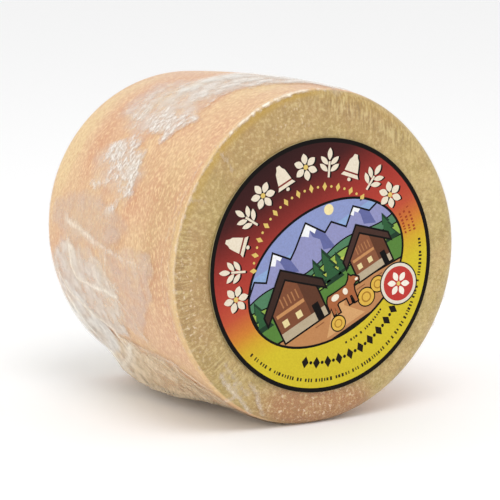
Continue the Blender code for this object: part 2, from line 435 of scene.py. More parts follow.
# Each layer over them: what draws it, from where to where, how much, its place, and its colour
side_layers = (
    (stored["tan"], 0.0, 1.0, 1.0, 1.0, "b98f58"),
    (grain["mottle"], 0.50, 0.66, 0.70, 1.0, "edcc98"),
    (grain["mottle"], 0.48, 0.32, 0.55, 1.0, "c68a5e"),
    # the crest's pale yellow is a painted highlight
    (stored["crest"], 0.0, 1.0, 0.65, 1.0, "dcc084"),
)
end_layers = (
    (grain["hue"], 0.50, 0.70, 0.50, 1.0, "bb9a63"),
    (grain["hue"], 0.50, 0.30, 0.40, 1.0, "ac9954"),
    (stored["blush"], 0.0, 1.0, 0.92, 1.0, "a67045"),
    (grain["fleck"], 0.51, 0.68, 0.62, 1.0, "d2bc86"),
    (grain["fleck"], 0.48, 0.32, 0.46, 1.0, "927542"),
    (grain["pleats"], 0.52, 0.68, 0.50, stored["pleated"], "d8c48c"),
    (grain["pleats"], 0.46, 0.30, 0.55, stored["pleated"], "8c6f40"),
    (grain["ribs"], 0.52, 0.66, 0.42, stored["ribbed"], "d8c48c"),
    (grain["ribs"], 0.47, 0.32, 0.46, stored["ribbed"], "8c6f40"),
    (stored["gold_rim"], 0.0, 1.0, 0.75, 1.0, "b8932f"),
    (grain["specks"], 0.62, 0.74, 0.70, stored["speckled"], "e6d3b6"),
)
colours = []
for colour, layers in ((side, side_layers), (end, end_layers)):
    for drawn_by, low, high, most, where, layer in layers:
        share = add_node(rind, "MapRange", {0: drawn_by, 1: low, 2: high, 4: most})
        share = add_node(rind, "Math", {0: share, 1: where}, operation="MULTIPLY", use_clamp=True)
        colour = add_node(rind, "Mix", {0: share, 6: colour, 7: layer}, out=2, data_type="RGBA")
    colours.append(colour)
at_end = add_node(rind, "MapRange", {0: stored["side"], 1: 0.3, 2: -0.3})
colour = add_node(rind, "Mix", {0: at_end, 6: colours[0], 7: colours[1]}, out=2, data_type="RGBA")
bump = add_node(rind, "Bump", {"Height": grain["mottle"], "Strength": 0.35, "Distance": 0.0005})
ridges = add_node(rind, "Math", {0: grain["pleats"], 1: stored["pleated"]}, operation="MULTIPLY")
ridges = add_node(rind, "Math", {0: grain["ribs"], 1: stored["ribbed"], 2: ridges}, operation="MULTIPLY_ADD")
bump = add_node(rind, "Bump", {"Height": ridges, "Strength": 0.6, "Distance": 0.0007, "Normal": bump})
plug(rind, shader, {"Base Color": colour, "Normal": bump})
plug(rind, shader, {"Roughness": 0.6, "Coat Weight": 0.4, "Coat Roughness": 0.22})
cheese.data.materials.append(rind)
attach(cheese, "root")
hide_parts("wrapped_wheel")


# Clear shrink film
# A bag of thin clear polyolefin, shrunk tight on the wheel by hot air, with its heat seal
# across the back end. It is loose low on the left side, where it stands off in a pouch,
# and milky where it has creased or hasn't stuck to the rind.
# Some of its white is painted light: a reflection of the softbox on the top, a highlight along the front
# rim's crest, and a paler veil over the pouch's underside.

# The folds: turn and mm back of both ends, and height in mm
FOLD_HALF_WIDTH = 3.6
FOLD_END = 0.05
FOLDS = (
    (204, 83, 231, 70, 0.6),
    (193, 84, 211, 55, 0.5),
    (172, 74, 181, 14, 0.6),
    (182, 71, 196, 40, 0.6),
    (217, 43, 224, 7, 0.5),
)
# Crumpled stretches: how milky, how soft their edges are in mm, and outlines of turn and mm back.
# The ones on the top and upper left are partly a painted reflection of the softbox.
MILKY_AND_PAINTED_REFLECTION = (
    (0.85, 5, ((129.3, 62.5), (123.1, 67), (119, 61), (126, 50), (136.1, 46.5), (137, 54))),
    (1.15, 5, ((129.5, 50), (123.5, 46), (124.5, 32), (129, 26), (137, 30), (138, 42))),
    (0.8, 5, ((127, 36), (121, 27), (125.5, 20), (132, 27))),
    (0.7, 5, ((136, 50), (141, 54), (143.5, 45), (137.5, 38))),
    (1.1, 5, ((150.5, 59.5), (143, 60), (139, 51.7), (143, 39), (150, 33), (157.5, 35), (153.5, 48))),
    (0.95, 5, ((153, 49), (153, 40), (157.5, 32), (162.5, 35), (159, 45))),
    (0.9, 4, ((159.5, 64), (155, 61), (153, 46), (157, 41), (158.5, 52))),
    (0.6, 5, ((164, 48), (161, 41), (164.5, 35), (169, 42), (169.5, 53))),
    (0.75, 6, ((119.5, 47), (113, 44), (100, 40), (88, 30), (80, 12), (83, 1), (90, 9), (103, 19),
               (112, 23.5), (120, 26))),
    (0.6, 5, ((190, 50), (187, 42), (196, 34), (201, 38), (197, 48))),
    (0.5, 6, ((184, 68), (183.5, 56), (187, 45), (194, 44), (194, 58), (189, 69))),
    (0.8, 7, ((24, 66), (14, 58), (8, 34), (14, 22), (22, 34), (30, 52))),
    (0.8, 6, ((346, 30), (336, 24), (330, 8), (340, 4), (352, 14))),
    (0.6, 7, ((322, 80), (308, 74), (302, 54), (312, 46), (326, 60))),
    (0.6, 6, ((66, 78), (56, 70), (50, 52), (58, 52), (66, 64))),
)
# Smooth misty stretches, with two plies of film: how misty, how white, how soft, and outlines.
# The veils on the top and upper left are partly a painted reflection of the softbox, and the
# white ones low on the left, over the pouch's flap, are painted light on film that faces away from the
# lamps.
MISTY_AND_PAINTED_LIGHT = (
    (0.42, 0.1, 5, ((167, 84), (161, 64), (163.5, 44), (172, 30), (181, 44), (181, 72), (175, 86))),
    (0.36, 0.3, 2.5, ((177.5, 30), (176, 15), (182, 12), (189, 14), (200, 22), (212, 34), (206, 48),
                      (190, 50), (180, 48))),
    (0.58, 0.95, 5, ((180, 80), (183, 50), (196, 40), (213, 44), (213, 62), (206, 82), (194, 92))),
    (0.7, 1, 8, ((119, 47), (113, 56), (100, 52), (86, 48), (70, 40), (74, 10), (84, 1), (90, 11),
                 (103, 21), (112, 25.5), (119, 28))),
    (0.5, 0.95, 9, ((140, 46), (130, 68), (112, 70), (104, 50), (112, 34), (126, 24))),
    (0.35, 0.6, 8, ((160, 60), (146, 66), (140, 48), (150, 30), (162, 34))),
    (0.8, 0.9, 3.5, ((206, 92), (194, 86), (196, 76), (206, 66), (216, 56), (230, 50), (246, 60),
                     (236, 86))),
    (0.6, 0.5, 3.5, ((212, 62), (218, 52), (236, 44), (240, 52), (234, 66), (226, 72))),
    (0.4, 0.6, 9, ((66, 84), (50, 74), (44, 52), (56, 48), (70, 66))),
    (0.4, 0.5, 10, ((30, 76), (4, 70), (0, 30), (15, 14), (38, 30), (40, 60))),
    (0.4, 0.5, 10, ((330, 86), (300, 84), (296, 44), (314, 34), (336, 58))),
)
# Creases: half width and height in mm, how white they are, and their turns and mm back
CREASES = (
    (1.7, 0.35, 0.9, ((172.4, 73.6), (175.5, 62), (178.3, 51.9))),
    (1.4, 0.3, 0.7, ((178.3, 51.9), (180.3, 38))),
    (2.2, 0.2, 0.6, ((180.3, 38), (181.8, 29), (182.5, 20))),
    (2.6, 0.2, 0.9, ((181.5, 71.5), (184.5, 69))),
    (1.1, 0.4, 1, ((181.5, 71.5), (190, 71.7), (193.7, 68.9), (195.1, 59.5), (196.4, 40.2))),
    (0.8, 0.2, 0.75, ((180.6, 44), (189.1, 46.3), (194.2, 38.5))),
    (0.8, 0.15, 0.7, ((184, 55), (190, 54), (195, 50))),
    (1.1, 0.3, 0.95, ((193.3, 84.4), (202.3, 78.9), (208.5, 66.1), (211.4, 55.4), (220.9, 53.9))),
    (1.5, 0.3, 1.05, ((203.7, 83.2), (219.1, 79.5), (226.2, 73.7), (231.6, 69.8))),
    (1.6, 0.25, 1.05, ((220.9, 53.9), (217.5, 48), (226, 58), (233, 70.1))),
    (0.8, 0.25, 0.7, ((216.7, 43.2), (217.7, 18.7), (226.2, 3.3))),
    (1, 0.3, 0.8, ((36, 97), (30, 104), (22, 116))),
    (0.9, 0.3, 0.7, ((72, 96), (78, 106), (74, 120))),
    (0.9, 0.3, 0.7, ((118, 96.5), (126, 107), (134, 113))),
    (1, 0.3, 0.8, ((158, 97), (163, 108), (159, 118))),
    (0.9, 0.3, 0.7, ((214, 96), (206, 106), (200, 117))),
    (0.9, 0.3, 0.6, ((262, 96), (268, 110), (262, 121))),
    (1, 0.3, 0.7, ((322, 97), (330, 108), (344, 114))),
    (1, 0.2, 0.4, ((221, 52), (232, 30), (240, 22))),
    (1.2, 0.15, 0.6, ((198, 40), (203, 33), (207, 34), (211, 30))),
    (1, 0.15, 0.55, ((158.5, 60.8), (156.4, 44))),
    (0.7, 0.15, 0.4, ((140, 2.2), (155, 3.6), (172, 3), (190, 4.2), (208, 2.6))),
    (0.6, 0.15, 0.36, ((150, 6.2), (166, 5.6), (180, 7.4), (196, 6.6))),
    (0.7, 0.3, 0.45, ((134.6, 1.5), (135.4, -1.7), (136.8, -8.6))),
    (0.6, 0.2, 0.4, ((156, -0.5), (153.5, -6))),
    (0.8, 0.6, 0.7, ((224, -5), (227.2, -3.5), (235, -3.2), (242.1, 0.4))),
    (0.8, 0.5, 0.66, ((230.1, -5.6), (233, -2.5), (231.6, 1.5))),
    (0.8, 0.5, 0.62, ((236, -8.5), (242, -5.5), (247, -1.5))),
    (0.8, 0.45, 0.5, ((221, -8), (229, -6.5), (237, -5.5))),
    (1.1, 0.35, 0.7, ((28, 62), (16, 50), (12, 26), (24, 12))),
    (0.9, 0.25, 0.6, ((16, 50), (4, 44), (1, 20))),
    (0.9, 0.25, 0.6, ((352, 30), (338, 18), (330, 4))),
    (1, 0.3, 0.65, ((318, 80), (309, 62), (315, 44), (328, 38))),
    (0.9, 0.25, 0.6, ((60, 82), (52, 62), (60, 48))),
    (0.9, 0.25, 0.5, ((44, 90), (30, 84), (22, 70))),
    (0.8, 0.2, 0.4, ((6, 92), (2, 76), (10, 64))),
)
# The film's edge round the front rim: turn, height in mm and how white it is there.
# The white is partly a creased edge and partly a painted highlight on the crest.
LIP_TURNS = (0, 40, 85, 97, 112, 128, 137, 150, 175, 200, 225, 245, 300, 360)
LIP_HEIGHTS = (0.0, 0.0, 0.05, 0.2, 0.3, 0.28, 0.12, 0.2, 0.22, 0.2, 0.15, 0.0, 0.0, 0.0)
LIP_WHITES = (0.0, 0.0, 0.35, 0.85, 1.0, 0.85, 0.4, 0.5, 0.5, 0.4, 0.3, 0.1, 0.0, 0.0)
# Where the film stands off the rind and looks greyer: how grey, how soft its edge is, and the outline.
# Its light tan is partly the loose film's milkiness and partly painted light on the pouch's underside.
LOOSE = (
    (1, 4, ((213, 54), (217, 40), (219.5, 20), (229, 3.5), (262, 4), (262, 84), (236, 84), (224, 64))),
    (0.5, 6, ((171, 80), (166, 60), (168, 44), (178, 46), (178, 74))),
)
# How far the stretches' edges wander and the size of the noise that moves them, all in mm.
# A second field of the same noise lies a little way off.
WANDER = ((3.2, 8.0), (1.4, 3.0))
NEXT_FIELD = 50.0
MIST_WANDER = 0.8
CREASE_WANDER = 0.3
# A crease is a bright core in a faint halo: how many half widths wide, and the halo's share
CORE = 2.0
HALO = 6.0
HALO_SHARE = 0.28
# The front rim's lip: its half width, and its bumps' size, shift sideways, white and height; its white is
# partly a painted highlight
LIP_HALF_WIDTH = 1.6
LIP_BUMP = 1.7
LIP_SHIFT = 0.6
LIP_WHITE = (1.0, 0.9)
LIP_HEIGHT = (1.2, 1.6)
# The fine unevenness of the film, where it is milky and all over: height and size in mm
MILK_RELIEF = (0.16, 2.6)
SKIN_RELIEF = (0.05, 7.0)
# Under the label the film lies flat
LABEL_EDGE = -11.0
LABEL_RELIEF = 0.15
# The heat seal across the back end: its reach to each side, lean, bend, height and half width in mm
SEAL_REACH = 43.0
SEAL_FADE = 4.0
SEAL_LEAN = 0.10
SEAL_BEND = (1.5, 9.0)
SEAL_HEIGHT = 1.0
SEAL_HALF_WIDTH = 2.6
# The film round it: pleats from the rim in, and folds drawn up to the seal, in mm
PLEAT_SIZE = 0.055
PLEAT_DEPTH = 2.4
PLEAT_START = 12.0
PLEAT_FADE = 30.0
DRAWN_SIZE = 3.0
DRAWN_LENGTH = 0.2
DRAWN_REACH = 16.0
BACK_HEIGHT = 0.4
# How white the seal is, and how milky and misty the pleats, the drawn folds and some lumps make the rest
SEAL_WHITE = 1.1
SEAL_MIST = 0.4
SEAL_MIST_REACH = 18.0
PLEAT_MILK = 1.1
PLEAT_MIST = 0.2
DRAWN_MILK = 2.2
LUMP_MILK = 0.4
LUMP_SIZE = 9.0
BACK_CLEAR = 0.1
BACK_WHITE = 0.9
BACK_PALE = 0.5
# The share of the relief that shows on the front end, and the least that the back end stands off
FRONT_SHARE = 0.6
BACK_STAND_OFF = 0.1
# The mesh, as for the cheese
FILM_AROUND = 448
FILM_ALONG = 128
FILM_RINGS = [0.0006] * 19 + [0.0016] * 23


def fold_height(around, back):
    """Height in mm of the film's broad folds, each a straight ridge that dies away at its ends."""
    height = np.zeros_like(around)
    for turn_0, back_0, turn_1, back_1, top in FOLDS:
        gap = off_line(around, back, [(turn_0, back_0), (turn_1, back_1)])
        run, rise = (turn_1 - turn_0) * ARC, back_1 - back_0
        share = ((around - turn_0 * ARC) * run + (back - back_0) * rise) / (run * run + rise * rise)
        slope = fade(gap, FOLD_HALF_WIDTH)
        height = np.maximum(height, top * slope * np.sin(math.pi * np.clip(share, FOLD_END, 1.0 - FOLD_END)))
    return height


def crumple(spots, size):
    """Smooth noise from -1 to 1 whose lumps are about size mm across."""
    return np.array([noise.noise(Vector(spot)) for spot in spots / size])


film = drum("shrink_film", FILM_AROUND, FILM_ALONG, FILM_RINGS)
place, radius, turn = spots_of(film)
around, back = unrolled(place, radius, turn)
drum_spots = np.column_stack((radius * np.cos(turn), place, radius * np.sin(turn))) * 1000.0
flat_radius = radius
place, radius = wheel_shape(place, radius, turn)
on_side = (place > FRONT_ROUND) & (place < LENGTH - BACK_ROUND)
radius[on_side] = pouch_radius(radius[on_side], place[on_side], turn[on_side])
wander, stray = (
    sum(far * crumple(drum_spots + shift, size) for far, size in WANDER) for shift in (0.0, NEXT_FIELD)
)


def in_stretch(outline, soft, share=1.0):
    """How far inside an outline each point is, from 0 to 1 over its soft edge, which wanders by a share."""
    inside = inside_of(around + share * wander, back + share * stray, outline)
    return eased(0.5 + inside / soft)


milk_and_reflection = np.max([amount * in_stretch(outline, soft) for amount, soft, outline in MILKY_AND_PAINTED_REFLECTION], axis=0)
loose = np.max([amount * in_stretch(outline, soft) for amount, soft, outline in LOOSE], axis=0)
mist_and_painted_light = np.zeros_like(place)
pale = np.zeros_like(place)
for amount, white, soft, outline in MISTY_AND_PAINTED_LIGHT:
    part = in_stretch(outline, soft, MIST_WANDER)
    mist_and_painted_light = np.maximum(mist_and_painted_light, amount * part)
    pale = np.maximum(pale, white * part)
crease_and_highlight = np.zeros_like(place)
relief = np.zeros_like(place)
for half_width, height, white, points in CREASES:
    gap = off_line(around + CREASE_WANDER * wander, back + CREASE_WANDER * stray, points)
    core, halo = fade(gap, CORE * half_width), fade(gap, HALO * half_width)
    crease_and_highlight = np.maximum(crease_and_highlight, white * ((1.0 - HALO_SHARE) * core + HALO_SHARE * halo))
    relief = np.maximum(relief, height * eased(core))
degrees = np.degrees(turn) % 360.0
bumpy = crumple(drum_spots, LIP_BUMP)
on_lip = fade(np.abs(back + LIP_SHIFT * bumpy), LIP_HALF_WIDTH)
lip_white = np.interp(degrees, LIP_TURNS, LIP_WHITES) * (LIP_WHITE[0] + LIP_WHITE[1] * bumpy)
lip_height = np.interp(degrees, LIP_TURNS, LIP_HEIGHTS) * (LIP_HEIGHT[0] + LIP_HEIGHT[1] * bumpy)
# The lip's white, partly a painted highlight on the crest, goes in with the creases
crease_and_highlight = np.maximum(crease_and_highlight, on_lip * lip_white)
relief = np.maximum(relief, on_lip * lip_height)
relief = np.maximum(relief, fold_height(around, back))
relief += MILK_RELIEF[0] * milk_and_reflection * crumple(drum_spots, MILK_RELIEF[1])
relief += SKIN_RELIEF[0] * crumple(drum_spots, SKIN_RELIEF[1])
relief[back < LABEL_EDGE] *= LABEL_RELIEF

# The back end: pleats from the rim in, and the seal with the film drawn towards it
on_back = back > LENGTH * 1000.0
across, up = drum_spots[:, 0], drum_spots[:, 2]
off_seal = np.abs(up - SEAL_LEAN * across + SEAL_BEND[0] * np.sin(across / SEAL_BEND[1]))
pleat = crumple(np.column_stack((np.cos(turn), np.sin(turn), flat_radius * PLEAT_DEPTH)), PLEAT_SIZE)
inwards = eased((flat_radius * 1000.0 - PLEAT_START) / PLEAT_FADE)
drawn_to = crumple(np.column_stack((across, up * DRAWN_LENGTH, np.zeros_like(up))), DRAWN_SIZE)
drawn_to *= eased(fade(off_seal, DRAWN_REACH))
seal = eased((SEAL_REACH - np.abs(across)) / SEAL_FADE) * fade(off_seal, SEAL_HALF_WIDTH)
end_relief = BACK_HEIGHT * (pleat * inwards + drawn_to) + SEAL_HEIGHT * seal
end_milk = PLEAT_MILK * pleat * inwards + DRAWN_MILK * drawn_to + LUMP_MILK * crumple(drum_spots, LUMP_SIZE)
end_white = np.maximum(SEAL_WHITE * seal, BACK_WHITE * eased(end_milk - BACK_CLEAR))
end_mist = SEAL_MIST * eased(fade(off_seal, SEAL_MIST_REACH)) + PLEAT_MIST * inwards
relief[on_back] = np.maximum(relief, end_relief)[on_back]
crease_and_highlight[on_back] = np.maximum(crease_and_highlight, end_white)[on_back]
mist_and_painted_light[on_back] = end_mist[on_back]
pale[on_back] = BACK_PALE

on_front = back < ON_END
radius += 0.001 * np.where(on_back, 0.0, np.where(on_front, FRONT_SHARE, 1.0)) * relief
place -= 0.001 * np.where(on_front, FRONT_SHARE, 0.0) * np.maximum(relief, 0.0)
place += 0.001 * np.where(on_back, 1.0, 0.0) * np.maximum(relief + BACK_STAND_OFF, 0.0)
place = np.maximum(place, 0.0)
lay_down(film, place, radius, turn)
looks = {"milk_and_reflection": milk_and_reflection, "mist_and_painted_light": mist_and_painted_light, "pale": pale, "loose": loose, "crease_and_highlight": crease_and_highlight}
store(film, looks)

# Clear polyolefin film, shrunk: glassy where it is tight, milk white along its creases and
# where tiny wrinkles scatter the light, greyer where there is air behind it.
# Some of its white is painted light: a reflection of the softbox on the top and upper left, a highlight
# along the front rim's crest, and a paler veil over the pouch's underside.
CLEAR_ALPHA = 0.04
skin, shader = new_material("Clear polyolefin shrink film")
centred, drawn = wheel_vectors(skin)
grain = {}
for name, where, size, detail in (
    ("speckle", drawn, 0.0010, 2.0), ("winding", drawn, 0.0016, 1.0), ("cloud", centred, 0.005, 3.0),
):
    inputs = {"Vector": where, "Scale": 1.0 / size, "Detail": detail, "Roughness": 0.6}
    grain[name] = add_node(skin, "TexNoise", inputs)
stored = {}
for name in looks:
    stored[name] = add_node(skin, "Attribute", {}, out="Fac", attribute_name=name)

# The winding threads of the wrinkles, and clouds that make the stretches ragged and patchy
winding = add_node(skin, "Math", {0: grain["winding"], 1: 0.5}, operation="SUBTRACT")
winding = add_node(skin, "Math", {0: winding}, operation="ABSOLUTE")
winding = add_node(skin, "MapRange", {0: winding, 1: 0.06, 2: 0.0})
cloud = add_node(skin, "Math", {0: grain["cloud"], 1: 0.5}, operation="SUBTRACT")
edge = add_node(skin, "MapRange", {0: stored["milk_and_reflection"], 1: 0.02, 2: 0.3})
edge = add_node(skin, "Math", {0: edge, 1: cloud}, operation="MULTIPLY")
ragged = add_node(skin, "Math", {0: edge, 1: 2.2, 2: stored["milk_and_reflection"]}, operation="MULTIPLY_ADD")
ragged = add_node(skin, "MapRange", {0: ragged, 1: 0.2, 2: 1.05})
specks = add_node(skin, "MapRange", {0: grain["speckle"], 1: 0.4, 2: 0.62, 3: 0.35, 4: 0.8})
specks = add_node(skin, "Math", {0: winding, 1: 0.25, 2: specks}, operation="MULTIPLY_ADD")
crumpled = add_node(skin, "Math", {0: ragged, 1: specks}, operation="MULTIPLY")
cloudy = add_node(skin, "MapRange", {0: cloud, 1: -0.2, 2: 0.15, 3: 0.45, 4: 1.1})
# The mist, partly painted reflection and painted light, makes the film paler and less clear
mist_and_painted_light = add_node(skin, "Math", {0: cloudy, 1: stored["mist_and_painted_light"]}, operation="MULTIPLY")
patchy = add_node(skin, "MapRange", {0: grain["speckle"], 1: 0.35, 2: 0.65, 3: 0.5, 4: 0.85})
patchy = add_node(skin, "Math", {0: cloudy, 1: patchy}, operation="MULTIPLY")
# The light tan over the pouch is partly painted light on its underside, which faces away from the lamps
pouch_veil_and_light = add_node(skin, "Math", {0: patchy, 1: stored["loose"]}, operation="MULTIPLY")
white_line = add_node(skin, "Math", {0: grain["speckle"], 1: 0.7, 2: -0.35}, operation="MULTIPLY_ADD")
white_line = add_node(skin, "Math", {0: white_line, 1: stored["crease_and_highlight"]}, operation="ADD")
white_line = add_node(skin, "MapRange", {0: white_line, 1: 0.2, 2: 1.1, 4: 0.9})
# The whitest of them all hides the rind the most
alpha = CLEAR_ALPHA
for whiteness in (crumpled, mist_and_painted_light, white_line, pouch_veil_and_light):
    alpha = add_node(skin, "Math", {0: alpha, 1: whiteness}, operation="MAXIMUM")
colour = "dcc6b6"
# The pale and loose layers lighten the film, partly as painted reflection and painted light
for share, layer in (
    (stored["pale"], "e7e6df"), (ragged, "eeeae2"), (stored["loose"], "ead6b4"), (white_line, "f6f0df"),
):
    colour = add_node(skin, "Mix", {0: share, 6: colour, 7: layer}, out=2, data_type="RGBA")
bump = add_node(skin, "Bump", {"Height": crumpled, "Strength": 0.5, "Distance": 0.0006})
plug(skin, shader, {"Base Color": colour, "Alpha": alpha, "Normal": bump, "Roughness": 0.24})
film.data.materials.append(skin)
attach(film, "root")
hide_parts("wrapped_wheel")


# Label
# A round paper label, offset printed in flat and blended inks under a thin varnish, and
# stuck on the film over the front end. Its print is a band of flowers, sprigs and bells
# round the top, a farm under snowy peaks in the middle, and dark ornaments on yellow.
LABEL_RADIUS = 39.6
RING_RADIUS = 39.52
FIELD_RADIUS = 38.15
LABEL_TURN = 27.0
LABEL_BEVEL = 0.00008
# The inks lie in layers, each a step nearer the eye than the one under it
INK = 0.000011
INK_STEP = 0.0000055
INK_LAYERS = 28
# A leaf's points and fullness, the least mitre of a black line's corners, and where a shadow falls
LEAF_STEPS = 7
LEAF_FULLNESS = 0.8
LINE_MITRE = 0.35
SHADOW_SHIFT = (0.45, -0.4)
# The paper's edge is a dark khaki, partly glue and partly painted shade, so no pale line shows round the
# ring
PAPER_EDGE = "a4966c"
BLACK = "0c0807"
CREAM = "e3d8c4"
GOLD = "d9bd68"
# The field's ink from the bottom of the label to its top: height in mm and colour
FIELD_INKS = (
    (-38, "cdbb2c"), (-15, "cdba2e"), (-9, "cda62f"), (-4, "ca7d33"), (2, "bb5238"),
    (8, "ad3f33"), (15, "9c352e"), (21, "7a2a26"), (28, "431c1c"), (38, "2e1718"),
)
label_middle = 0.5 * (label_low + label_high)
print_top = label_low[1] + INK_LAYERS * INK_STEP + INK


def round_outline(middle_u, middle_v, half_u, half_v, count=72):
    steps = [2.0 * math.pi * step / count for step in range(count)]
    return [(middle_u + half_u * math.cos(step), middle_v + half_v * math.sin(step)) for step in steps]


def box_outline(low_u, low_v, high_u, high_v):
    return [(low_u, low_v), (high_u, low_v), (high_u, high_v), (low_u, high_v)]


def moved(outline, shift_u, shift_v, turn=0.0):
    """An outline turned about its own zero, in degrees, and then shifted."""
    cosine, sine = math.cos(math.radians(turn)), math.sin(math.radians(turn))
    return [(shift_u + u * cosine - v * sine, shift_v + u * sine + v * cosine) for u, v in outline]


def on_ring(outline, radius, angle):
    """An outline with its top outwards, at a place on a ring round the label's middle."""
    spot = math.radians(angle)
    return moved(outline, radius * math.cos(spot), radius * math.sin(spot), angle - 90.0)


def leaf(length, width, turn, start):
    """An almond outline from a start along its own middle line."""
    shares = [step / LEAF_STEPS for step in range(LEAF_STEPS + 1)]
    halves = [0.5 * width * math.sin(math.pi * share) ** LEAF_FULLNESS for share in shares]
    upper = [(start + length * share, half) for share, half in zip(shares, halves)]
    lower = [(u, -v) for u, v in reversed(upper[1:-1])]
    return moved(upper + lower, 0.0, 0.0, turn)


def flower(length, width, start):
    return [leaf(length, width, 60.0 * petal + 30.0, start) for petal in range(6)]


def sprig():
    stem = box_outline(-0.3, -3.7, 0.3, 0.6)
    leaves = [leaf(3.4, 1.5, 90.0, 0.9)]
    for height, lean in ((-2.4, 38.0), (-0.6, 42.0)):
        for turn in (lean, 180.0 - lean):
            leaves.append(moved(leaf(3.3, 1.4, turn, 0.5), 0.0, height))
    return [stem] + leaves


def bell():
    flank = [(2.9, -2.7), (2.3, -1.8), (1.9, 0.2), (1.5, 1.9), (0.9, 2.6)]
    loop = [(0.5, 3.6), (-0.5, 3.6)]
    return [flank + loop + [(-u, v) for u, v in reversed(flank)], round_outline(0.0, -3.4, 0.55, 0.5, 10)]


def clipped(outline, frame_outline):
    """The part of an outline that lies inside a round frame's outline."""
    for (u_0, v_0), (u_1, v_1) in zip(frame_outline, frame_outline[1:] + frame_outline[:1]):
        kept = []
        for first, last in zip(outline, outline[1:] + outline[:1]):
            side_0 = (u_1 - u_0) * (first[1] - v_0) - (v_1 - v_0) * (first[0] - u_0)
            side_1 = (u_1 - u_0) * (last[1] - v_0) - (v_1 - v_0) * (last[0] - u_0)
            if side_0 >= 0.0:
                kept.append(first)
            if (side_0 < 0.0) != (side_1 < 0.0):
                share = side_0 / (side_0 - side_1)
                kept.append(tuple(low + share * (high - low) for low, high in zip(first, last)))
        outline = kept
    return outline


def grown(outline, by):
    """An outline pushed out by a black line's width."""
    count = len(outline)
    area = sum(u_0 * v_1 - u_1 * v_0 for (u_0, v_0), (u_1, v_1) in zip(outline, outline[1:] + outline[:1]))
    turned = by if area > 0.0 else -by
    result = []
    for number, (u, v) in enumerate(outline):
        before, after = Vector(outline[number - 1]), Vector(outline[(number + 1) % count])
        first = (Vector((u, v)) - before).normalized()
        last = (after - Vector((u, v))).normalized()
        outward = Vector((first.y + last.y, -first.x - last.x))
        reach = max(outward.length_squared / 2.0, LINE_MITRE)
        result.append((u + turned * outward.x / reach, v + turned * outward.y / reach))
    return result


def lay_print(piece, level):
    """Stand a flat drawing up on the label's front, at its layer of ink."""
    depth = print_top - level * INK_STEP - 0.5 * INK
    piece.location = (label_middle[0], depth, label_middle[2])
    piece.rotation_euler = (0.5 * math.pi, -math.radians(LABEL_TURN), 0.0)
    bpy.ops.object.transform_apply(location=True, rotation=True, scale=True)


def stain(piece, colours):
    layer = piece.data.color_attributes.new("ink", "FLOAT_COLOR", "POINT")
    layer.data.foreach_set("color", np.asarray(colours, dtype=np.float32).ravel())


def print_ink(level, colour, outlines):
    """Flat shapes in one ink, from closed outlines in mm that don't cross."""
    drawing = bpy.data.curves.new("ink", "CURVE")
    drawing.dimensions = "2D"
    drawing.fill_mode = "BOTH"
    drawing.extrude = 0.5 * INK
    for outline in outlines:
        line = drawing.splines.new("POLY")
        line.points.add(len(outline) - 1)
        for point, (u, v) in zip(line.points, outline):
            point.co = (0.001 * u, 0.001 * v, 0.0, 1.0)
        line.use_cyclic_u = True
    piece = bpy.data.objects.new("ink", drawing)
    bpy.context.scene.collection.objects.link(piece)
    bpy.ops.object.select_all(action="DESELECT")
    piece.select_set(True)
    bpy.context.view_layer.objects.active = piece
    bpy.ops.object.convert(target="MESH")
    piece = bpy.context.active_object
    lay_print(piece, level)
    stain(piece, [linear(colour)] * len(piece.data.vertices))
    printed.append(piece)


printed = []
bpy.ops.object.select_all(action="DESELECT")
paper_depth = front_y - print_top
bpy.ops.mesh.primitive_cylinder_add(
    vertices=180,
    radius=0.001 * LABEL_RADIUS,
    depth=paper_depth,
    location=(label_middle[0], print_top + 0.5 * paper_depth, label_middle[2]),
    rotation=(0.5 * math.pi, 0.0, 0.0),
)
paper = bpy.context.active_object
bpy.ops.object.transform_apply(location=True, rotation=True, scale=True)
bpy.ops.object.modifier_add(type="BEVEL")
paper.modifiers["Bevel"].width = LABEL_BEVEL
paper.modifiers["Bevel"].segments = 2
bpy.ops.object.modifier_apply(modifier="Bevel")
# The paper takes its edge's dark khaki, partly painted shade
stain(paper, [linear(PAPER_EDGE)] * len(paper.data.vertices))
printed.append(paper)
print_ink(0, BLACK, [round_outline(0.0, 0.0, RING_RADIUS, RING_RADIUS, 144)])

# The field's inks run into each other, yellow to red, and darken to maroon at the top
FIELD_RINGS = 24
FIELD_RING_STEP = 0.0015
bpy.ops.object.select_all(action="DESELECT")
bpy.ops.mesh.primitive_circle_add(vertices=96, radius=0.001 * FIELD_RADIUS, fill_type="NGON")
field = bpy.context.active_object
bpy.ops.object.mode_set(mode="EDIT")
bpy.ops.mesh.select_mode(type="FACE")
bpy.ops.mesh.select_all(action="SELECT")
bpy.ops.mesh.extrude_region_move(TRANSFORM_OT_translate={"value": (0.0, 0.0, INK)})
for step in range(FIELD_RINGS):
    bpy.ops.mesh.inset(thickness=FIELD_RING_STEP, use_even_offset=False)
bpy.ops.mesh.select_all(action="SELECT")
bpy.ops.mesh.normals_make_consistent(inside=False)
bpy.ops.transform.translate(value=(0.0, 0.0, -0.5 * INK))
bpy.ops.object.mode_set(mode="OBJECT")
heights = [1000.0 * vertex.co.y for vertex in field.data.vertices]
stops = [height for height, colour in FIELD_INKS]
mixes = np.array([linear(colour) for height, colour in FIELD_INKS])
stain(field, np.column_stack([np.interp(heights, stops, mixes[:, part]) for part in range(4)]))
bpy.context.view_layer.objects.active = field
lay_print(field, 1)
printed.append(field)

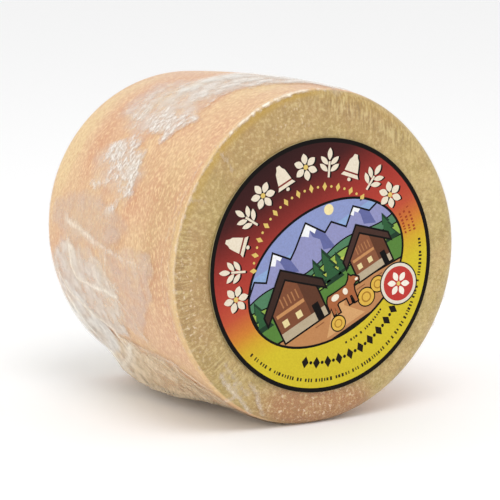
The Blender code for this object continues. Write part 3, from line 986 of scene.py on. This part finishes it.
# The band round the top: cream ornaments with black shadows over a row of gold lozenges.
# Rings are in mm and steps in degrees.
ORNAMENT_RING = 31.6
ORNAMENT_STEP = 15.4
ORNAMENT_SCALE = 1.14
ORDER = ("flower", "sprig", "bell", "sprig", "flower", "bell", "flower", "sprig", "bell", "sprig", "flower")
motifs = {"flower": flower(3.0, 1.9, 0.75), "sprig": sprig(), "bell": bell()}
ornaments = []
for number, name in enumerate(ORDER):
    angle = 90.0 + ORNAMENT_STEP * (len(ORDER) // 2 - number)
    for outline in motifs[name]:
        enlarged = [(ORNAMENT_SCALE * u, ORNAMENT_SCALE * v) for u, v in outline]
        ornaments.append(on_ring(enlarged, ORNAMENT_RING, angle))
    if name == "flower":
        heart = on_ring([(0.0, 0.0)], ORNAMENT_RING, angle)[0]
        print_ink(4, GOLD, [round_outline(*heart, 0.8, 0.8, 12)])
    if name == "bell":
        print_ink(4, "7d2c27", [on_ring(box_outline(-2.6, -1.98, 2.6, -1.45), ORNAMENT_RING, angle)])
print_ink(3, CREAM, ornaments)
for shadow in ornaments:
    print_ink(2, BLACK, [moved(shadow, *SHADOW_SHIFT)])

# The rows of lozenges and beads, gold on the red and dark on the yellow: layer, ink, ring, middle
# angle, step, count, a lozenge's half sizes, and a bead's radius and points
BEADED_ROWS = (
    (3, GOLD, 24.6, 90.0, -5.6, 23, (0.8, 1.35), 0.42, 10),
    (2, "1a130c", 30.2, 270.0, 3.9, 21, (1.25, 1.9), 0.55, 12),
)
for level, ink, ring, middle, step, count, (half_u, half_v), size, points in BEADED_ROWS:
    lozenge = [(0.0, -half_v), (half_u, 0.0), (0.0, half_v), (-half_u, 0.0)]
    bead = round_outline(0.0, 0.0, size, size, points)
    row = []
    for number in range(count):
        angle = middle + step * (number - count // 2)
        row.append(on_ring(bead if number % 2 else lozenge, ring, angle))
    print_ink(level, ink, row)

# The rows of fine ticks under and over them: ring, first and last angle, height and ink
TICK_ROWS = (
    (35.7, 198, 343, 1.25, "2c2213"),
    (26.2, 262, 297, 0.9, "2c2213"),
    (31.2, 348, 361, 0.9, "9a3f24"),
    (32.9, 348, 361, 0.9, "9a3f24"),
    (34.6, 348, 361, 0.9, "9a3f24"),
)
TICK_SEED = 7
TICK_WIDTHS = (0.35, 0.8)
TICK_SHARES = (0.7, 1.0)
TICK_GAPS = (0.3, 0.35, 0.4, 1.1)
TICK_GAP_ODDS = (0.3, 0.3, 0.2, 0.2)
TICK_LEAST_GAP = 0.15
draw = np.random.default_rng(TICK_SEED)
for ring, angle, stop, height, ink in TICK_ROWS:
    dashes = []
    while angle < stop:
        width, gap = draw.uniform(*TICK_WIDTHS), draw.choice(TICK_GAPS, p=TICK_GAP_ODDS)
        tall = height * draw.uniform(*TICK_SHARES)
        dash = box_outline(-0.5 * width, -0.5 * tall, 0.5 * width, 0.5 * tall)
        dashes.append(on_ring(dash, ring, angle))
        angle += math.degrees((width + gap + TICK_LEAST_GAP) / ring)
    print_ink(2, ink, dashes)

# The picture: sky, sun, peaks, meadows, firs, two wooden houses, a cow and hay. Its frame is an
# oval, as its middle and half sizes in mm.
PICTURE = (0.3, -2.6, 29.6, 21.0)
PICTURE_RIM = 0.8
LEFT, RIGHT, BOTTOM = -28, 29, -22
HILL_POINTS = 40
middle_u, middle_v, half_u, half_v = PICTURE
picture = round_outline(middle_u, middle_v, half_u - PICTURE_RIM, half_v - PICTURE_RIM)
print_ink(2, BLACK, [round_outline(*PICTURE)])


def paint(level, colour, outlines, line=0.0):
    """Shapes in the picture, cut at its frame, with a black line round them if it has a width."""
    for outline in outlines:
        cut = clipped(outline, picture)
        if len(cut) < 3:
            continue
        if line:
            print_ink(level - 1, BLACK, [clipped(grown(outline, line), picture)])
        print_ink(level, colour, [cut])


def hill(height, tall, length, shift):
    """Ground under a crest of even waves."""
    across = np.linspace(LEFT, RIGHT, HILL_POINTS)
    crest = [(float(u), height + tall * math.sin((u - shift) / length)) for u in across]
    return crest + [(RIGHT, BOTTOM), (LEFT, BOTTOM)]


def fir(u, v, tall):
    tier = ((0.30, 0.0), (0.13, 0.34), (0.23, 0.34), (0.10, 0.62), (0.16, 0.62), (0.0, 1.0))
    flank = [(u + tall * out, v + tall * up) for out, up in tier]
    return flank + [(2.0 * u - side, top) for side, top in reversed(flank[:-1])]


for low, high, colour in ((9.5, 20, "8894c4"), (5.5, 9.5, "8aa5d0"), (BOTTOM, 5.5, "93b9da")):
    paint(3, colour, [box_outline(LEFT, low, RIGHT, high)])
paint(4, "ecdca6", [round_outline(9.6, 14.6, 1.7, 1.7, 20)])
peaks = [
    (LEFT, 3.5), (-23, 8), (-19.5, 5.6), (-13.5, 12.6), (-9, 7.6), (-6, 9.6), (0.5, 14.8),
    (5.2, 8.6), (8.6, 10.4), (12.6, 6.2), (17.6, 10.6), (22, 6.4), (RIGHT, 8), (RIGHT, -3),
    (LEFT, -3),
]
paint(5, "8e90bd", [peaks], 0.6)
shades = [
    [(-13.5, 12.6), (-9, 7.6), (-8, 3), (-12, 5), (-12.4, 8.5)],
    [(0.5, 14.8), (5.2, 8.6), (6.5, 3), (2.4, 4.5), (2.8, 8), (0.9, 10)],
    [(17.6, 10.6), (22, 6.4), (22.5, 2), (18.5, 4), (18.8, 7.4)],
]
paint(6, "61679c", shades)
snows = [
    [(-15.9, 9.8), (-13.5, 12.6), (-11.3, 10.1), (-12.4, 9.4), (-13.2, 10.6), (-14.5, 8.9)],
    [(-2.6, 12.3), (0.5, 14.8), (3, 11.5), (1.9, 10.6), (0.9, 12.4), (-0.4, 10.7), (-1.5, 11.6)],
    [(15.6, 9.1), (17.6, 10.6), (19.4, 8.9), (18.2, 8.3), (17.3, 9.3), (16.4, 8.2)],
]
paint(7, "eceef2", snows)
paint(8, "4f7d5c", [hill(2.2, 1.2, 5, 2)], 0.45)
paint(10, "8fae4e", [hill(-0.6, 1.4, 7, -4)], 0.45)
paint(11, "b7bf55", [[(-6, -3.5), (2, -0.2), (10, -1.6), (14, -4.4), (4, -6)]])
paint(13, "55803a", [hill(-5.6, 0.9, 6, 5)], 0.45)
paint(15, "b98355", [hill(-12.6, 0.8, 9, -6)], 0.6)
paint(16, "cf9f6c", [[(-3, -12.2), (3, -11.8), (1, -15), (6.5, -21), (-9, -21), (-4.5, -15.5)]])
ruts = ((-16, -13.6), (-11, -16), (9.5, -17.4), (14, -13.4), (-8, -13.2), (7, -13.3))
paint(17, "8d5a38", [box_outline(u, v, u + 3.4, v + 0.35) for u, v in ruts])
# The firs, dark with a lighter front: the foot of each and its height
DARK_FIRS = ((-26, -7, 10), (-2.4, -5.6, 9.6), (1.8, -6.6, 12), (25.6, -5.8, 9.6), (5.6, -5.6, 7.4))
LIGHT_FIRS = ((-26.2, -5.4, 7.2), (-2.7, -4.2, 6.8), (1.5, -4.9, 8.8), (25.3, -4.4, 7), (5.4, -4.6, 5.2))
paint(14, "1f3a28", [fir(*tree) for tree in DARK_FIRS])
paint(15, "2f5a38", [fir(*tree) for tree in LIGHT_FIRS])

# The houses: the middle of each one's foot, its scale, and the colours of its wall and roof
HOUSES = ((-13.6, -14.2, 1.25, "7a4a33", "38251f"), (15.8, -11.4, 0.98, "85533a", "442e28"))
gable = [(-6.8, 0), (6.8, 0), (6.8, 8.4), (0, 14.2), (-6.8, 8.4)]
slopes = [(-9, 6.6), (0, 14.4), (9, 6.6), (9, 8.6), (0, 16.6), (-9, 8.6)]
shade = [(2.6, 2.4), (6.8, 2.4), (6.8, 8.2), (2.6, 11.8)]
stone_foot = box_outline(-6.8, 0, 6.8, 2.4)
boards = [box_outline(side, 8, side + 0.35, 10.6) for side in (-3.6, -2.4, -1.2, 0, 1.2)]
balcony = box_outline(-6.2, 6.4, 2.4, 7.3)
windows = [box_outline(side, 3.4, side + 1.7, 5.2) for side in (-5.4, -1.2)]
door = box_outline(3.6, 0, 5.6, 4.4)
for u, v, size, wall, roof in HOUSES:
    for level, colour, shapes, line in (
        (19, wall, [gable], 0.6),
        (20, "b5a68c", [stone_foot], 0),
        (20, "5c3828", [shade], 0),
        (22, roof, [slopes], 0.6),
        (20, "a9744c", boards, 0),
        (21, "c08a5a", [balcony], 0),
        (20, "e0cf9a", windows, 0),
        (21, BLACK, [door], 0),
    ):
        built = [[(u + size * side, v + size * top) for side, top in shape] for shape in shapes]
        paint(level, colour, built, line)

# The cow, standing side on with three white patches, and the round bales of hay
COW_PLACE = (1.8, -12.4)
COW_SCALE = 1.15
HAY = ((9, -17, 2.9), (14.4, -15.6, 2.5), (-3.4, -19, 2.4))
cow = [
    (-4.7, 1.6), (-4.1, 2.3), (-1, 2.2), (2.2, 2.3), (3.5, 3.3), (4.1, 4.3), (4.5, 3.6), (5.2, 3.5),
    (6.5, 2.3), (6.3, 1.6), (5.2, 1.7), (4.3, 1.3), (3.8, -0.3), (3.6, -3.3), (2.8, -3.3), (2.6, -1),
    (1.9, -0.9), (1.6, -3), (0.9, -3), (0.9, -0.8), (-1.9, -0.6), (-2.6, -1), (-2.6, -3.3),
    (-3.4, -3.3), (-3.6, -1.2), (-3.9, -3), (-4.6, -3), (-4.6, -0.6), (-5.2, -1.4), (-5.1, 0.6),
]
cow = [(COW_PLACE[0] + COW_SCALE * u, COW_PLACE[1] + COW_SCALE * v) for u, v in cow]
paint(23, "a4623c", [cow], 0.5)
patches = ((-0.8, -11.2, 1.5, 1.0), (3.2, -11.3, 0.9, 1.1), (8.4, -9.9, 0.6, 0.45))
paint(24, "ece3d0", [round_outline(*patch, 14) for patch in patches])
for u, v, radius in HAY:
    paint(21, "d9b04a", [round_outline(u, v, radius, radius * 0.94, 24)], 0.4)
    paint(22, "a77a2c", [round_outline(u, v, radius * 0.62, radius * 0.58, 20)])
    paint(23, "d9b04a", [round_outline(u, v, radius * 0.45, radius * 0.42, 18)])

# The round badge low on the right: a white flower on red
BADGE = (21.0, -19.6)
for level, colour, radius in ((24, BLACK, 6.9), (25, "ddd6c8", 6.5), (26, "b93a34", 5.5)):
    print_ink(level, colour, [round_outline(*BADGE, radius, radius, 40)])
print_ink(27, "efe9dd", [moved(petal, *BADGE) for petal in flower(3.2, 1.9, 0.9)])
print_ink(28, GOLD, [round_outline(*BADGE, 0.7, 0.7, 12)])

bpy.ops.object.select_all(action="DESELECT")
for piece in printed:
    piece.select_set(True)
bpy.context.view_layer.objects.active = paper
bpy.ops.object.join()
paper.name = "printed_label"
paper.data.name = "printed_label"

# Coated paper, offset printed: flat inks with the least unevenness of the paper in them,
# and a thin varnish that gives them one even satin sheen. The paper waves a little on the film.
FIBRE = 0.0005
WAVE = 0.012
coated, shader = new_material("Offset print on coated paper")
where = add_node(coated, "TexCoord", {}, out="Object")
inks = add_node(coated, "Attribute", {}, out="Color", attribute_name="ink")
fibre = add_node(coated, "TexNoise", {"Vector": where, "Scale": 1.0 / FIBRE, "Detail": 2.0})
share = add_node(coated, "MapRange", {0: fibre, 1: 0.3, 2: 0.75, 4: 0.5})
inputs = {0: share, 6: inks, 7: "e6dfd2"}
washed = add_node(coated, "Mix", inputs, out=2, data_type="RGBA", blend_type="MULTIPLY")
waves = add_node(coated, "TexNoise", {"Vector": where, "Scale": 1.0 / WAVE, "Detail": 1.0})
bump = add_node(coated, "Bump", {"Height": waves, "Strength": 0.4, "Distance": 0.0006})
bump = add_node(coated, "Bump", {"Height": fibre, "Strength": 0.15, "Distance": 0.0002, "Normal": bump})
plug(coated, shader, {"Base Color": washed, "Normal": bump, "Roughness": 0.5, "Specular IOR Level": 0.1})
paper.data.materials.clear()
paper.data.materials.append(coated)
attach(paper, "root")
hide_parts("label")


# Studio
# A pale floor that runs on into a white surround, as for a catalogue picture. A large softbox
# hangs over the wheel to the left, and a weak one stands low beside it.
bpy.ops.object.select_all(action="DESELECT")
bpy.ops.mesh.primitive_plane_add(size=6.0, location=(0.0, 0.0, 0.0))
floor = bpy.context.active_object
floor.name = "studio_floor"
white, shader = new_material("White paper sweep")
plug(white, shader, {"Base Color": "f7f7f7", "Roughness": 0.9})
floor.data.materials.append(white)

scene = bpy.context.scene
scene.view_settings.view_transform = "Standard"
scene.world = bpy.data.worlds.new("studio")
scene.world.use_nodes = True
sky = scene.world.node_tree.nodes["Background"]
sky.inputs["Color"].default_value = linear("ffffff")
sky.inputs["Strength"].default_value = 0.95

# Each softbox: its place, what it points at, its width in metres and its power in watts
SOFTBOXES = (
    ("key_softbox", (-0.18, -0.62, 1.2), (0.0, 0.0, 0.05), 0.7, 5.0),
    ("low_softbox", (-0.9, 0.05, 0.1), (0.0, 0.0, 0.02), 0.5, 1.3),
)
for name, spot, target, size, power in SOFTBOXES:
    bpy.ops.object.light_add(type="AREA", location=spot)
    lamp = bpy.context.active_object
    lamp.name = name
    lamp.data.shape = "DISK"
    lamp.data.size = size
    lamp.data.energy = power
    away = np.array(target) - np.array(spot)
    across = math.hypot(away[0], away[1])
    lamp.rotation_euler = (math.atan2(across, -away[2]), 0.0, math.atan2(-away[0], away[1]))

# The lens stands a little above the wheel, to the left of the label
CAMERA_TURN = math.radians(29.73)
CAMERA_RISE = math.radians(9.72)
CAMERA_REACH = 0.728
CAMERA_AIM = np.array([-0.01456, 0.01883, 0.05327])
CAMERA_LENS = 168.9
aim = CAMERA_AIM + np.array([axis_x, front_y, 0.0])
level = math.cos(CAMERA_RISE)
sight = np.array([math.sin(CAMERA_TURN) * level, math.cos(CAMERA_TURN) * level, -math.sin(CAMERA_RISE)])
bpy.ops.object.camera_add(
    location=tuple(aim - sight * CAMERA_REACH),
    rotation=(0.5 * math.pi - CAMERA_RISE, 0.0, -CAMERA_TURN),
)
camera = bpy.context.active_object
camera.name = "camera"
camera.data.lens = CAMERA_LENS
camera.data.sensor_width = 36.0
camera.data.clip_start = 0.01
scene.camera = camera
